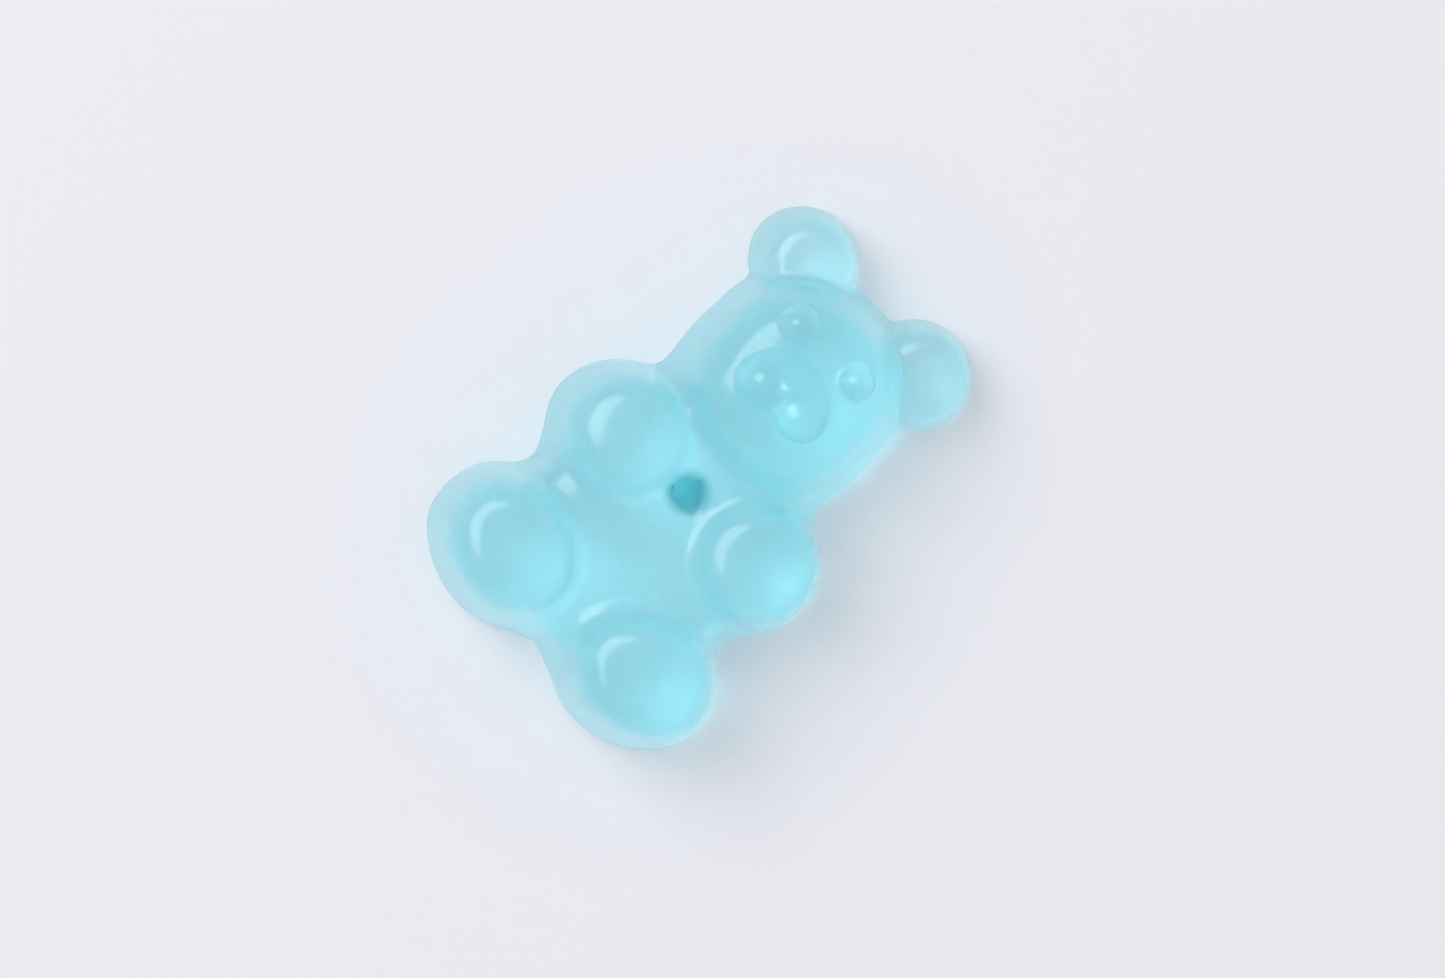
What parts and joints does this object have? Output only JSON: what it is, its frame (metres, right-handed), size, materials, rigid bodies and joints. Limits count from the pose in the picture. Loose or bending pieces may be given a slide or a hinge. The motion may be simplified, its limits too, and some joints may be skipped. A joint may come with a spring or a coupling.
{
  "type": "gummy bear",
  "caption": "Moulded gum sweet in the shape of a sitting bear: round ears, eyes, snout, arms and legs on the face side, and a flat back that it rests on.",
  "frame": {"origin": "on the flat back, in the middle of the bear's outline box", "axes": "+Z out of the face side, +Y from the feet to the ears, +X to the right as the face side is looked at"},
  "size_m": [0.0146, 0.022, 0.0085],
  "materials": {
    "blue_gum": "translucent pale blue gelatine gum, satin, moulded in starch"
  },
  "bodies": {
    "root": {"gummy_bear": "blue_gum"}
  },
  "joints": []
}
